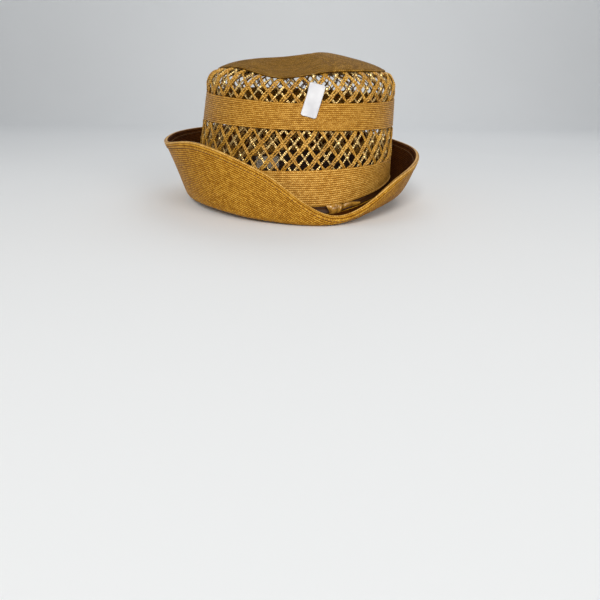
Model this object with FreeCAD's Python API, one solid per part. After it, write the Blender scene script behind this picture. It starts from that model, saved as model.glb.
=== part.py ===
import FreeCAD, Part
import math
import os

# A woman's small fedora in sewn straw braid, with two openwork lattice bands in its
# crown and a brim rolled up all round. Millimetres, +Z up, the front of the hat at -Y.
# Azimuth is measured from the front towards +X, in degrees.

# ---------------------------------------------------------------- driving dimensions

# head opening: outer half-axes of the crown oval at its foot and at the shoulder
FOOT_HALF_WIDTH = 82.5
FOOT_HALF_LENGTH = 96.5
SHOULDER_HALF_WIDTH = 73.5
SHOULDER_HALF_LENGTH = 86.5
FOOT_Z = 10.0
SHOULDER_Z = 87.0
LEAN_X = 6.5            # the soft crown leans this far to +X between foot and shoulder
LEAN_Y = -2.2
TAPER_END = 0.93        # above this share of the wall's height the taper dies away

# dome of the tip
TIP_TOP_Z = 108.0
SHOULDER_DROP = 11.0    # the wall starts to curve in this far below the tip's edge
DOME_POWER = 2.25
SUMMIT = (13.0, -6.0, 4.7, 21.0)       # x, y, rise, spread
CREASE = (-8.0, 12.0, 8.5, 14.0, 38.0)  # x, y, depth, spread across, spread along
PINCH = (-19.0, -60.0, 92.0, 15.0)      # x, y, z, spread
PINCH_IN = 7.5
PINCH_DOWN = 3.5
BUTTON_RADIUS = 6.5

# brim, every 30 degrees from the front
STEP = 30
RIM_OUT = [14.0, 20.0, 21.0, 22.0, 22.0, 22.0, 22.0, 23.0, 23.0, 21.0, 13.0, 9.0]
RIM_HEIGHT = [6.5, 29.0, 38.0, 43.0, 49.0, 52.0, 53.0, 52.5, 50.0, 46.0, 49.0, 34.0]
BELLY_OUT = [21.0, 21.0, 19.0, 17.0, 15.0, 13.5, 12.0, 10.5, 9.5, 9.0, 12.0, 17.0]
BELLY_HEIGHT = [1.0, 22.0, 35.0, 34.0, 29.0, 23.0, 19.0, 16.0, 14.0, 12.0, 9.0, 5.0]
TURN_OUT = [6.5, 6.0, 6.0, 6.5, 7.0, 7.0, 7.0, 7.0, 6.5, 6.0, 6.0, 6.5]
TURN_LIFT = [0.0, 7.0, 8.0, 5.5, 2.5, 1.0, 0.0, 0.5, 2.5, 4.0, 4.5, 1.5]
FOLD_HEIGHT = [10.8, 16.8, 21.5, 17.5, 12.5, 11.0, 10.0, 10.5, 12.3, 13.6, 14.0, 11.2]
TIP_EDGE = [94.0, 95.5, 97.5, 98.0, 98.5, 99.0, 99.0, 99.0, 99.0, 98.7, 97.2, 91.8]
TURN_START = 4.5        # the brim leaves the crown this far above the turn's lowest line

# layers, as depths inward from the outer skin
BRAID = 1.6             # thickness of the solid braid of the crown
CORD_OUTER = 1.0        # thickness of the right-leaning cords
CORD_INNER = 0.8        # thickness of the left-leaning cords
GOLD = 0.5              # thickness of the metallic threads
SATIN = 0.4
HEADLINE = 1.2
SWEATBAND = 0.8
SWEATBAND_TOP = 29.0
TUCK = 3.0              # cords run this far behind the braid above and below them

BRIM_STRAW = 1.5
BRIM_FACING = 0.9
BINDING = 0.8
BINDING_DEPTH = 4.0
RIM_POCKET = 2.2        # the brim's layers stop this far below the top of the binding
WIRE_RADIUS = 0.5
FERRULE_RADIUS = 0.7

# each lattice: cords around, their slope in degrees from the horizontal, and where the
# right-leaning and the left-leaning cords start, in steps from the front
UPPER_LAYOUT = (30, 46.0, 0.12, 0.0)
LOWER_LAYOUT = (32, 50.0, 0.56, 0.02)
WIDE_CORD = 3.2
NARROW_CORD = 2.2
GOLD_THREAD = 1.0

RING_STEPS = 72


# ------------------------------------------------------------------ small mathematics

def around(values, azimuth):
    """A smooth closed curve through values given every STEP degrees."""
    count = len(values)
    place = (azimuth % 360.0) / STEP
    index = int(math.floor(place))
    t = place - index
    p0, p1, p2, p3 = (values[(index + k) % count] for k in (-1, 0, 1, 2))
    return 0.5 * (2.0 * p1 + (p2 - p0) * t + (2.0 * p0 - 5.0 * p1 + 4.0 * p2 - p3) * t * t
                  + (3.0 * p1 - p0 - 3.0 * p2 + p3) * t ** 3)


def bump(distance, spread):
    return math.exp(-0.5 * (distance / spread) ** 2)


def vector(point):
    return FreeCAD.Vector(*point)


def unit(v):
    return v * (1.0 / v.Length)


# ----------------------------------------------------------------------- crown surface

def fold_level(azimuth):
    return around(FOLD_HEIGHT, azimuth)


def lower_lattice_foot(azimuth):
    angle = math.radians(azimuth)
    return 33.0 + 2.4 * math.sin(angle) + math.cos(angle)


def lower_lattice_head(azimuth):
    angle = math.radians(azimuth)
    return 61.8 - 0.7 * math.sin(angle) - 3.4 * math.cos(angle)


def upper_lattice_foot(azimuth):
    return 81.8 - 6.8 * math.cos(math.radians(azimuth))


def tip_edge(azimuth):
    return around(TIP_EDGE, azimuth)


def wall_axes(z):
    """Half-axes and centre of the crown oval at height z."""
    t = (z - FOOT_Z) / (SHOULDER_Z - FOOT_Z)
    if t > TAPER_END:
        t = TAPER_END + 0.08 * (1.0 - math.exp((TAPER_END - t) / 0.08))
    half_width = FOOT_HALF_WIDTH + t * (SHOULDER_HALF_WIDTH - FOOT_HALF_WIDTH)
    half_length = FOOT_HALF_LENGTH + t * (SHOULDER_HALF_LENGTH - FOOT_HALF_LENGTH)
    return half_width, half_length, LEAN_X * t, LEAN_Y * t


def soften(x, y, z):
    """The summit, the lengthwise crease and the pinch that fingers leave in the tip."""
    sx, sy, rise, spread = SUMMIT
    high = min(1.0, max(0.0, (z - 84.0) / 16.0))
    dz = high * rise * bump(math.hypot(x - sx, y - sy), spread)
    cx, cy, depth, across, along = CREASE
    dz -= high * depth * bump(x - cx, across) * math.exp(-((y - cy) / along) ** 4)
    px, py, pz, pinch_spread = PINCH
    near = bump(math.sqrt((x - px) ** 2 + (y - py) ** 2 + (z - pz) ** 2), pinch_spread)
    inward = math.hypot(x, y) or 1.0
    x -= PINCH_IN * near * x / inward
    y -= PINCH_IN * near * y / inward
    return x, y, z + dz - PINCH_DOWN * near


def crown_point(azimuth, z, depth=0.0):
    """Outer skin of the crown at height z, moved in by depth. Reaches onto the shoulder."""
    start = tip_edge(azimuth) - SHOULDER_DROP
    if z <= start:
        ring, h = 1.0, 0.0
        base = z
    else:
        height = TIP_TOP_Z - start
        h = min(0.999, (z - start) / height)
        ring = (1.0 - h ** DOME_POWER) ** (1.0 / DOME_POWER)
        base = start
    return oval_point(azimuth, base, ring, h, depth)


def oval_point(azimuth, base, ring, h, depth):
    """A point ring of the way out at azimuth and h of the way up the dome above base."""
    half_width, half_length, cx, cy = wall_axes(base)
    angle = math.radians(azimuth)
    height = TIP_TOP_Z - base
    outer = (cx + half_width * ring * math.sin(angle),
             cy - half_length * ring * math.cos(angle),
             base + height * h)
    moved = soften(*outer)
    inner = (cx + (half_width - depth) * ring * math.sin(angle),
             cy - (half_length - depth) * ring * math.cos(angle),
             base + (height - depth) * h)
    return tuple(i + m - o for i, m, o in zip(inner, moved, outer))


def dome_point(azimuth, sweep, depth=0.0):
    """The dome above the wall: sweep runs from 0 at the wall's top to 1 at the centre."""
    angle = sweep * math.pi / 2.0
    ring = max(math.cos(angle), 1e-6) ** (2.0 / DOME_POWER)
    h = math.sin(angle) ** (2.0 / DOME_POWER)
    return oval_point(azimuth, tip_edge(azimuth) - SHOULDER_DROP, ring, h, depth)


def edge_sweep(azimuth):
    """Where the tip's edge lies on the dome."""
    start = tip_edge(azimuth) - SHOULDER_DROP
    h = SHOULDER_DROP / (TIP_TOP_Z - start)
    return math.asin(h ** (DOME_POWER / 2.0)) * 2.0 / math.pi


# ------------------------------------------------------------------------ brim surface

def brim_profile(azimuth, samples=48):
    """Outer skin of the brim in (outward, up), from the head opening to the rim."""
    turn = around(TURN_OUT, azimuth)
    lift = around(TURN_LIFT, azimuth)
    belly = around(BELLY_OUT, azimuth)
    belly_z = around(BELLY_HEIGHT, azimuth)
    rim = around(RIM_OUT, azimuth)
    rim_z = around(RIM_HEIGHT, azimuth)
    points = []
    for i in range(samples // 4):
        t = i / (samples // 4)
        points.append((t * t * turn, (1.0 - t) ** 2 * TURN_START + lift))
    rise = samples - samples // 4
    for i in range(rise + 1):
        t = i / rise
        b0, b1, b2, b3 = (1 - t) ** 3, 3 * t * (1 - t) ** 2, 3 * t * t * (1 - t), t ** 3
        out = b0 * turn + b1 * (turn + 0.35 * (belly - turn) + 2.0) + b2 * belly + b3 * rim
        up = (b0 + b1) * lift + b2 * belly_z + b3 * rim_z
        points.append((out, up))
    return points


class BrimSection:
    """The brim's outer skin at one azimuth, by distance along it from the rim."""

    def __init__(self, azimuth):
        self.azimuth = azimuth
        self.points = brim_profile(azimuth)
        self.run = [0.0]
        for a, b in zip(self.points, self.points[1:]):
            self.run.append(self.run[-1] + math.hypot(b[0] - a[0], b[1] - a[1]))
        self.length = self.run[-1]

    def place(self, from_rim, depth):
        """A point from_rim below the rim along the skin, and depth inward from it."""
        run = min(max(self.length - from_rim, 0.0), self.length)
        i = 0
        while i < len(self.run) - 2 and self.run[i + 1] < run:
            i += 1
        (u0, z0), (u1, z1) = self.points[i], self.points[i + 1]
        step = self.run[i + 1] - self.run[i]
        t = (run - self.run[i]) / step
        du, dz = (u1 - u0) / step, (z1 - z0) / step
        u = u0 + t * (u1 - u0) - dz * depth
        z = z0 + t * (z1 - z0) + du * depth
        beyond = max(-from_rim, 0.0)
        return foot_point(self.azimuth, u + du * beyond, z + dz * beyond)


def foot_point(azimuth, outward, z):
    """A point outward of the head opening's oval."""
    angle = math.radians(azimuth)
    return ((FOOT_HALF_WIDTH + outward) * math.sin(angle),
            -(FOOT_HALF_LENGTH + outward) * math.cos(angle), z)


# ----------------------------------------------------------------------- making solids

def skin(rows, closed):
    """A B-spline face whose poles are rows of points. Closed rows join end to end."""
    v_count = len(rows)
    u_count = len(rows[0])
    poles = [[vector(rows[v][u]) for v in range(v_count)] for u in range(u_count)]
    v_degree = min(3, v_count - 1)
    v_knots = list(range(v_count - v_degree + 1))
    v_mults = [v_degree + 1] + [1] * (len(v_knots) - 2) + [v_degree + 1]
    if closed:
        u_degree = 3
        u_knots = list(range(u_count + 1))
        u_mults = [1] * len(u_knots)
    else:
        u_degree = min(3, u_count - 1)
        u_knots = list(range(u_count - u_degree + 1))
        u_mults = [u_degree + 1] + [1] * (len(u_knots) - 2) + [u_degree + 1]
    surface = Part.BSplineSurface()
    surface.buildFromPolesMultsKnots(poles, u_mults, v_mults, u_knots, v_knots,
                                     closed, False, u_degree, v_degree)
    return surface.toShape()


def closed_solid(faces):
    shell = Part.Shell(faces)
    shell.sewShape()
    solid = Part.Solid(Part.Shell(shell.Faces))
    if solid.Volume < 0:
        solid.reverse()
    return solid


def ring_solid(section, steps=RING_STEPS):
    """A closed ring. section(azimuth) gives its sides, each a list of points that
    starts where the last one ended."""
    cuts = [section(360.0 * i / steps) for i in range(steps)]
    faces = []
    for side in range(len(cuts[0])):
        rows = [[cut[side][k] for cut in cuts] for k in range(len(cuts[0][side]))]
        faces.append(skin(rows, True))
    return closed_solid(faces)


def boxed_strip(sections):
    """A bar through four-cornered sections, with flat ends."""
    faces = []
    for k in range(4):
        rows = [[s[k] for s in sections], [s[(k + 1) % 4] for s in sections]]
        faces.append(skin(rows, False))
    for s in (sections[0], sections[-1]):
        faces.append(skin([[s[0], s[1]], [s[3], s[2]]], False))
    return closed_solid(faces)


def tube_ring(centre, across, radius, sides=8):
    """A round ring. centre(azimuth) is its middle, across(azimuth) two unit vectors."""
    def section(azimuth):
        middle = vector(centre(azimuth))
        first, second = across(azimuth)
        points = []
        for i in range(sides + 1):
            angle = 2.0 * math.pi * i / sides
            points.append(tuple(middle + first * (radius * math.cos(angle))
                                + second * (radius * math.sin(angle))))
        return [points[i:i + 2] for i in range(sides)]
    return ring_solid(section)


def outward_and_up(azimuth):
    angle = math.radians(azimuth)
    return FreeCAD.Vector(math.sin(angle), -math.cos(angle), 0), FreeCAD.Vector(0, 0, 1)


def levels(low, high, count):
    return [low + (high - low) * i / (count - 1) for i in range(count)]


def crown_band(low, high, rows, outer=0.0, inner=BRAID):
    """A ring of solid braid between two height functions of the azimuth."""
    def section(azimuth):
        heights = levels(low(azimuth), high(azimuth), rows)
        out = [crown_point(azimuth, z, outer) for z in heights]
        back = [crown_point(azimuth, z, inner) for z in reversed(heights)]
        return [out, [out[-1], back[0]], back, [back[-1], out[0]]]
    return ring_solid(section)


def crown_strip(start, end, width, outer, inner, samples=7):
    """A flat cord on the crown from start to end, each an (azimuth, height) pair."""
    sections = []
    for i in range(samples):
        t = i / (samples - 1)
        azimuth = start[0] + t * (end[0] - start[0])
        z = start[1] + t * (end[1] - start[1])
        ahead = (azimuth + 0.01 * (end[0] - start[0]), z + 0.01 * (end[1] - start[1]))
        top = vector(crown_point(azimuth, z, outer))
        bottom = vector(crown_point(azimuth, z, inner))
        along = unit(vector(crown_point(ahead[0], ahead[1], outer)) - top)
        side = unit(along.cross(unit(top - bottom))) * (width / 2.0)
        sections.append([tuple(p) for p in (top - side, top + side,
                                            bottom + side, bottom - side)])
    return boxed_strip(sections)


# --------------------------------------------------------------------------- sub-parts

def tip_shell():
    def section(azimuth):
        first = edge_sweep(azimuth)
        half_width, half_length, _, _ = wall_axes(tip_edge(azimuth))
        angle = math.radians(azimuth)
        reach = math.hypot(half_width * math.sin(angle), half_length * math.cos(angle))
        last = math.acos((BUTTON_RADIUS / reach) ** (DOME_POWER / 2.0)) * 2.0 / math.pi
        sweeps = levels(first, last, 16)
        out = [dome_point(azimuth, s) for s in sweeps]
        back = [dome_point(azimuth, s, BRAID) for s in reversed(sweeps)]
        return [out, [out[-1], back[0]], back, [back[-1], out[0]]]
    return ring_solid(section)


def tip_button():
    """The coil that the braid starts from, in the hole at the middle of the tip."""
    top = dome_point(90.0, 0.999)
    low = vector((top[0], top[1], top[2] - BRAID))
    return Part.makeCylinder(BUTTON_RADIUS - 0.3, BRAID, low)


def lattice(foot, head, layout, lean, width, outer, inner, shift=0.0):
    """Parallel cords from below foot to above head, all leaning one way."""
    count, slope, right_start, left_start = layout
    first = shift + (right_start if lean > 0 else left_start)
    cords = []
    for i in range(count):
        azimuth = (i + first) * 360.0 / count
        low = foot(azimuth) - TUCK
        high = head(azimuth) + TUCK
        reach = 0.5 * (SHOULDER_HALF_WIDTH + SHOULDER_HALF_LENGTH)
        advance = math.degrees((high - low) / math.tan(math.radians(slope)) / reach)
        start = (azimuth - 0.5 * lean * advance, low)
        end = (azimuth + 0.5 * lean * advance, high)
        cords.append(crown_strip(start, end, width, outer, inner))
    return cords


def openwork(foot, head, layout):
    """The three layers of one lattice: wide cords, narrow cords, metallic threads."""
    outer = BRAID
    middle = outer + CORD_OUTER
    inner = middle + CORD_INNER
    wide = lattice(foot, head, layout, 1, WIDE_CORD, outer, middle)
    narrow = lattice(foot, head, layout, -1, NARROW_CORD, middle, inner)
    gold = lattice(foot, head, layout, 1, GOLD_THREAD, middle - GOLD, middle, 0.5)
    gold += lattice(foot, head, layout, -1, GOLD_THREAD, middle, middle + GOLD, 0.5)
    return Part.makeCompound(wide), Part.makeCompound(narrow), Part.makeCompound(gold)


def fold_piping():
    radius = 0.6

    def centre(azimuth):
        return foot_point(azimuth, -radius - 0.1, fold_level(azimuth) - radius)
    return tube_ring(centre, outward_and_up, radius)


def headline_braid():
    """The row that joins crown and brim: it stands on the turn and runs up behind the wall."""
    inset = BRAID + SATIN

    def section(azimuth):
        lift = around(TURN_LIFT, azimuth)
        fold = fold_level(azimuth)
        outline = [(-0.05, lift + 2.8), (-0.3, lift + 4.8), (-inset, fold - 0.6),
                   (-inset, fold + 8.0)]
        out = [foot_point(azimuth, u, z) for u, z in outline]
        back = [foot_point(azimuth, u - HEADLINE, z) for u, z in reversed(outline)]
        sides = [out[i:i + 2] for i in range(3)] + [[out[-1], back[0]]]
        return sides + [back[i:i + 2] for i in range(3)] + [[back[-1], out[0]]]
    return ring_solid(section)


def satin_hatband():
    inset = BRAID + SATIN

    def section(azimuth):
        lift = around(TURN_LIFT, azimuth)
        fold = fold_level(azimuth)
        outline = [(-0.3, lift + 4.9), (-inset, fold - 0.6), (-inset, fold + 7.0)]
        out = [foot_point(azimuth, u + SATIN, z) for u, z in outline]
        back = [foot_point(azimuth, u + 0.01, z) for u, z in reversed(outline)]
        sides = [out[0:2], out[1:3], [out[-1], back[0]]]
        return sides + [back[0:2], back[1:3], [back[-1], out[0]]]
    return ring_solid(section)


def satin_knot():
    """The twisted knot of the hatband at the front."""
    ball = Part.makeSphere(1.0)
    shape = FreeCAD.Matrix()
    shape.scale(7.0, 1.9, 2.9)
    x, y, z = foot_point(3.2, 2.2, 7.8)
    shape.move(vector((x, y, z)))
    return ball.transformGeometry(shape)


def satin_tail():
    """The ribbon's end, running on from the knot along the hatband."""
    sections = []
    for i in range(7):
        azimuth = 8.3 + 10.0 * i / 6
        low = fold_level(azimuth) - 4.4
        high = fold_level(azimuth) - 1.4
        sections.append([foot_point(azimuth, 1.0, low), foot_point(azimuth, 0.6, high),
                         foot_point(azimuth, 0.2, high), foot_point(azimuth, 0.6, low)])
    return boxed_strip(sections)


def brim_layer(outer, inner, from_rim, rows=18):
    def section(azimuth):
        cut = BrimSection(azimuth)
        runs = levels(cut.length, from_rim, rows)
        out = [cut.place(r, outer) for r in runs]
        back = [cut.place(r, inner) for r in reversed(runs)]
        return [out, [out[-1], back[0]], back, [back[-1], out[0]]]
    return ring_solid(section)


def rim_binding():
    """A folded edge strip over the brim's two layers, open downwards."""
    thickness = BRIM_STRAW + BRIM_FACING
    d0, d1 = -BINDING, thickness + BINDING
    outline = [(BINDING_DEPTH, d0), (0.9, d0), (0.25, d0 + 0.5), (0.0, d0 + 1.3),
               (0.0, d1 - 1.3), (0.25, d1 - 0.5), (0.9, d1), (BINDING_DEPTH, d1),
               (BINDING_DEPTH, thickness + 0.01), (BINDING, thickness + 0.01),
               (BINDING, -0.01), (BINDING_DEPTH, -0.01)]

    def section(azimuth):
        cut = BrimSection(azimuth)
        points = [cut.place(run, depth) for run, depth in outline]
        points.append(points[0])
        return [points[i:i + 2] for i in range(len(outline))]
    return ring_solid(section)


def in_rim_pocket(azimuth):
    middle = 0.5 * (BRIM_STRAW + BRIM_FACING)
    return BrimSection(azimuth).place(0.5 * (BINDING + RIM_POCKET), middle)


def rim_wire():
    return tube_ring(in_rim_pocket, outward_and_up, WIRE_RADIUS)


def wire_ferrule():
    """A crimped sleeve over the two ends of the rim wire, at the back."""
    first, last, steps, sides = 176.0, 184.0, 6, 8
    rings = {WIRE_RADIUS + 0.03: [], FERRULE_RADIUS: []}
    for i in range(steps + 1):
        azimuth = first + (last - first) * i / steps
        middle = vector(in_rim_pocket(azimuth))
        out, up = outward_and_up(azimuth)
        for radius, rows in rings.items():
            rows.append([tuple(middle + out * (radius * math.cos(math.radians(a)))
                               + up * (radius * math.sin(math.radians(a))))
                         for a in (360.0 * k / sides for k in range(sides + 1))])
    inner, outer = rings.values()
    faces = []
    for k in range(sides):
        for rows in (inner, outer):
            faces.append(skin([[r[k] for r in rows], [r[k + 1] for r in rows]], False))
        for end in (0, -1):
            faces.append(skin([[inner[end][k], inner[end][k + 1]],
                               [outer[end][k], outer[end][k + 1]]], False))
    return closed_solid(faces)


def rim_stitching():
    """Two lines of thread through the brim below the binding, outside and inside."""
    radius = 0.22
    inside = BRIM_STRAW + BRIM_FACING

    def outer(azimuth):
        return BrimSection(azimuth).place(BINDING_DEPTH + 0.8, -radius)

    def inner(azimuth):
        return BrimSection(azimuth).place(BINDING_DEPTH + 0.8, inside + radius)
    rings = [tube_ring(line, outward_and_up, radius, 6) for line in (outer, inner)]
    return Part.makeCompound(rings)


def sweatband():
    outside = -(BRAID + SATIN + HEADLINE)

    def section(azimuth):
        low = around(TURN_LIFT, azimuth) + 3.2
        heights = levels(low, SWEATBAND_TOP, 4)
        out = [lean_in(azimuth, outside - 0.02, z) for z in heights]
        back = [lean_in(azimuth, outside - SWEATBAND, z) for z in reversed(heights)]
        return [out, [out[-1], back[0]], back, [back[-1], out[0]]]
    return ring_solid(section)


def lean_in(azimuth, outward, z):
    """As foot_point, but following the wall's taper above the fold."""
    x, y, z = foot_point(azimuth, outward, z)
    taper = max(0.0, z - FOOT_Z - 18.0) / (SHOULDER_Z - FOOT_Z)
    angle = math.radians(azimuth)
    narrower = FOOT_HALF_WIDTH - SHOULDER_HALF_WIDTH
    return x - taper * narrower * math.sin(angle), y + taper * narrower * math.cos(angle), z


def on_sweatband(first, last, low, high, thickness):
    """A flat patch on the inside of the sweatband."""
    face = -(BRAID + SATIN + HEADLINE + SWEATBAND) - 0.02
    sections = []
    for i in range(7):
        azimuth = first + (last - first) * i / 6
        sections.append([lean_in(azimuth, face, low), lean_in(azimuth, face, high),
                         lean_in(azimuth, face - thickness, high),
                         lean_in(azimuth, face - thickness, low)])
    return boxed_strip(sections)


def size_label():
    return on_sweatband(171.0, 189.0, 11.0, 23.0, 0.4)


def sweatband_bow():
    """The little ribbon bow over the sweatband's seam: a knot and two loops."""
    knot = on_sweatband(247.6, 250.4, 15.6, 20.4, 2.2)
    left = on_sweatband(239.0, 247.4, 14.0, 22.0, 1.4)
    right = on_sweatband(250.6, 259.0, 14.0, 22.0, 1.4)
    return Part.makeCompound([knot, left, right])


def paper_tag():
    """A small blank paper tag stuck to the front of the crown."""
    return crown_strip((-13.8, 67.0), (-10.0, 86.5), 10.4, -0.3, -0.06, 9)


def build():
    upper_wide, upper_narrow, upper_gold = openwork(upper_lattice_foot, tip_edge,
                                                    UPPER_LAYOUT)
    lower_wide, lower_narrow, lower_gold = openwork(lower_lattice_foot, lower_lattice_head,
                                                    LOWER_LAYOUT)
    return {
        "crown_tip": tip_shell(),
        "tip_button": tip_button(),
        "upper_lattice_wide_cords": upper_wide,
        "upper_lattice_narrow_cords": upper_narrow,
        "upper_lattice_gold_threads": upper_gold,
        "middle_band": crown_band(lower_lattice_head, upper_lattice_foot, 6),
        "lower_lattice_wide_cords": lower_wide,
        "lower_lattice_narrow_cords": lower_narrow,
        "lower_lattice_gold_threads": lower_gold,
        "crown_base_wall": crown_band(fold_level, lower_lattice_foot, 6),
        "base_wall_piping": fold_piping(),
        "headline_braid": headline_braid(),
        "satin_hatband": satin_hatband(),
        "satin_knot": satin_knot(),
        "satin_tail": satin_tail(),
        "brim_straw": brim_layer(0.0, BRIM_STRAW, RIM_POCKET),
        "brim_facing": brim_layer(BRIM_STRAW + 0.01, BRIM_STRAW + BRIM_FACING, RIM_POCKET),
        "rim_binding": rim_binding(),
        "rim_wire": rim_wire(),
        "wire_ferrule": wire_ferrule(),
        "rim_stitching": rim_stitching(),
        "sweatband": sweatband(),
        "size_label": size_label(),
        "sweatband_bow": sweatband_bow(),
        "paper_tag": paper_tag(),
    }


def centred(shapes):
    """Moves everything so that the origin is under the middle of the whole hat."""
    box = Part.makeCompound([s for s in shapes.values()]).optimalBoundingBox(True, False)
    shift = FreeCAD.Vector(-(box.XMin + box.XMax) / 2.0, -(box.YMin + box.YMax) / 2.0,
                           -box.ZMin)
    return {name: shape.translated(shift) for name, shape in shapes.items()}, shift


os.makedirs("parts", exist_ok=True)
hat, hat_shift = centred(build())
for node, shape in hat.items():
    shape.exportStep("parts/%s.step" % node)
print("shift", [round(v, 2) for v in hat_shift])
for node, shape in hat.items():
    print(node, len(shape.Solids), shape.isValid(), round(shape.Volume, 1))
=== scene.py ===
import math

import bpy
import numpy as np
from mathutils import Matrix, Vector


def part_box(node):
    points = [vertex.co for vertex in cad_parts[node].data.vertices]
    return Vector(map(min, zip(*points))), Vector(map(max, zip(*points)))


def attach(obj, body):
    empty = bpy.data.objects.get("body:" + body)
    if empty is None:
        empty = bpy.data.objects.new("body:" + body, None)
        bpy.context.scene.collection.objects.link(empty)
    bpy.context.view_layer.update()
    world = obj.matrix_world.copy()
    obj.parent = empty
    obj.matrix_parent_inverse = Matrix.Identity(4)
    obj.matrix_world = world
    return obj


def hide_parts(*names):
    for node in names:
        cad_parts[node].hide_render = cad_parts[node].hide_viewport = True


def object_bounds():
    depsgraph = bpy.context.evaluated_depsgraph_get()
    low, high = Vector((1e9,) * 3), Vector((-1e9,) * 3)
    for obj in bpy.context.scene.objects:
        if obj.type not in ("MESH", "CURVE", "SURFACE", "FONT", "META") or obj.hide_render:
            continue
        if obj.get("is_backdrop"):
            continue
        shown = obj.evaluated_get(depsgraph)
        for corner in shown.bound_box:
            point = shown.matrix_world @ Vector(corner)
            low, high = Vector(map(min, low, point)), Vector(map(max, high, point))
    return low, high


# A woman's small fedora in sewn straw braid, drawn over the CAD frame. Shapes are worked
# out in millimetres about the middle of the head opening, as in the CAD part, and placed
# by the frame. Azimuth is in degrees from the front (-Y) towards +X.

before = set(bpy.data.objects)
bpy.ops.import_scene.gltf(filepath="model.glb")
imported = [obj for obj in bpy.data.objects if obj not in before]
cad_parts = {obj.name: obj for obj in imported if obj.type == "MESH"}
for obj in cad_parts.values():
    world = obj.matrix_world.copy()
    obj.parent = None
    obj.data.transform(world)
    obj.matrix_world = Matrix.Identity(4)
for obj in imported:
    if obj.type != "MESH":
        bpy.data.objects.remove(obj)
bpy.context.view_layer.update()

MM = 0.001


def add(name, data):
    """A new object in the scene."""
    thing = bpy.data.objects.new(name, data)
    bpy.context.scene.collection.objects.link(thing)
    return thing


def unit(vectors):
    return vectors / np.linalg.norm(vectors, axis=1, keepdims=True)


def running(steps, axis=0):
    """The running total of the steps, from 0."""
    total = np.cumsum(steps, axis)
    return np.concatenate([np.zeros_like(total.take([0], axis)), total], axis)


def box_mm(node):
    low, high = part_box(node)
    return np.array(low) / MM, np.array(high) / MM


# ------------------------------------------------------------- dimensions of the design

FOOT_HALF_WIDTH, FOOT_HALF_LENGTH = 82.5, 96.5
SHOULDER_HALF_WIDTH, SHOULDER_HALF_LENGTH = 73.5, 86.5
FOOT_Z, SHOULDER_Z = 10.0, 87.0
LEAN_X, LEAN_Y = 6.5, -2.2      # how far the crown leans by the shoulder
TAPER_END, TAPER_SOFT = 0.93, 0.08      # the wall stops narrowing here, over this share
TIP_TOP_Z = 108.0
SHOULDER_DROP = 11.0    # the dome starts this far below the tip's edge
DOME_POWER = 2.25       # 2 is an ellipse, more is squarer
SUMMIT = (13.0, -6.0, 4.7, 21.0)                # x, y, rise, spread
CREASE = (-8.0, 12.0, 8.5, 14.0, 38.0)          # x, y, depth, spread across and along
PINCH = (-19.0, -60.0, 92.0, 15.0)              # x, y, z, spread
PINCH_IN, PINCH_DOWN = 7.5, 3.5
SOFT_FROM, SOFT_OVER = 84.0, 16.0       # the top's softness starts here and grows over this
BUTTON_TURNS, BUTTON_PITCH = 4.2, 1.45
TIP_HOLE = 4.0          # radius of the tip's braid where it stops under the button

# every STEP degrees from the front: how far the brim's rim, belly and turn stand out from
# the foot, how high they are, the level of the fold and of the tip's edge
STEP = 30
RIM_OUT = [14.0, 20.0, 21.0, 22.0, 22.0, 22.0, 22.0, 23.0, 23.0, 21.0, 13.0, 9.0]
RIM_HEIGHT = [6.5, 29.0, 38.0, 43.0, 49.0, 52.0, 53.0, 52.5, 50.0, 46.0, 49.0, 34.0]
BELLY_OUT = [21.0, 21.0, 19.0, 17.0, 15.0, 13.5, 12.0, 10.5, 9.5, 9.0, 12.0, 17.0]
BELLY_HEIGHT = [1.0, 22.0, 35.0, 34.0, 29.0, 23.0, 19.0, 16.0, 14.0, 12.0, 9.0, 5.0]
TURN_OUT = [6.5, 6.0, 6.0, 6.5, 7.0, 7.0, 7.0, 7.0, 6.5, 6.0, 6.0, 6.5]
TURN_LIFT = [0.0, 7.0, 8.0, 5.5, 2.5, 1.0, 0.0, 0.5, 2.5, 4.0, 4.5, 1.5]
# FOLD_HEIGHT is raised from 30 to 90 degrees so that more of the dark hatband shows there,
# standing in for the brim's shadow on the base wall: painted shade.
FOLD_HEIGHT = [10.8, 16.8, 21.5, 17.5, 12.5, 11.0, 10.0, 10.5, 12.3, 13.6, 14.0, 11.2]
TIP_EDGE = [94.0, 95.5, 97.5, 98.0, 98.5, 99.0, 99.0, 99.0, 99.0, 98.7, 97.2, 91.8]
TURN_START = 4.5        # the brim leaves the crown this far above its turn

BAND = 1.1              # thickness of the crown's braid
BRIM = 2.4              # both layers of the brim
LAYER = 1.5             # the brim's straw alone
FOOT_GAP = 0.01         # the brim's skins stop this far above their foot
BINDING_DEPTH = 4.0
SWEATBAND_TOP = 29.0
SWEATBAND_FACE = 4.0    # depth of the sweatband's inner face

ROW = 1.4               # width of one row of braid
STITCH = 1.5            # length of one stitch of the plait
ROW_POINTS, ROW_POINTS_FEW = 4, 3       # mesh points across a row
ROUND, ROUND_BRIM, ROUND_SMALL, ROUND_TIP = 720, 560, 540, 500  # mesh points round the hat
RIDGE = 0.18            # how far a row swells

# each lattice: cords around, their slope in degrees from the horizontal, and where the
# right-leaning and the left-leaning cords start, in steps from the front
UPPER_LAYOUT = (30, 46.0, 0.12, 0.0)
LOWER_LAYOUT = (32, 50.0, 0.56, 0.02)
TUCK = 3.0              # cords run this far behind the braid above and below them
CORD_POINTS = 37        # mesh points along a strand
CORD_TURN = 30.0        # length in which a strand comes back to the same side
CORD_RISE = 0.20        # how far a strand rises and dips as it crosses another

TAG_FOOT, TAG_HEAD = (-13.8, 67.0), (-10.0, 86.5)       # azimuth and height of its ends
TAG_WIDTH, TAG_LENGTH, TAG_CORNER = 10.4, 20.2, 1.2
KNOT_AZIMUTH = 3.2

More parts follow.
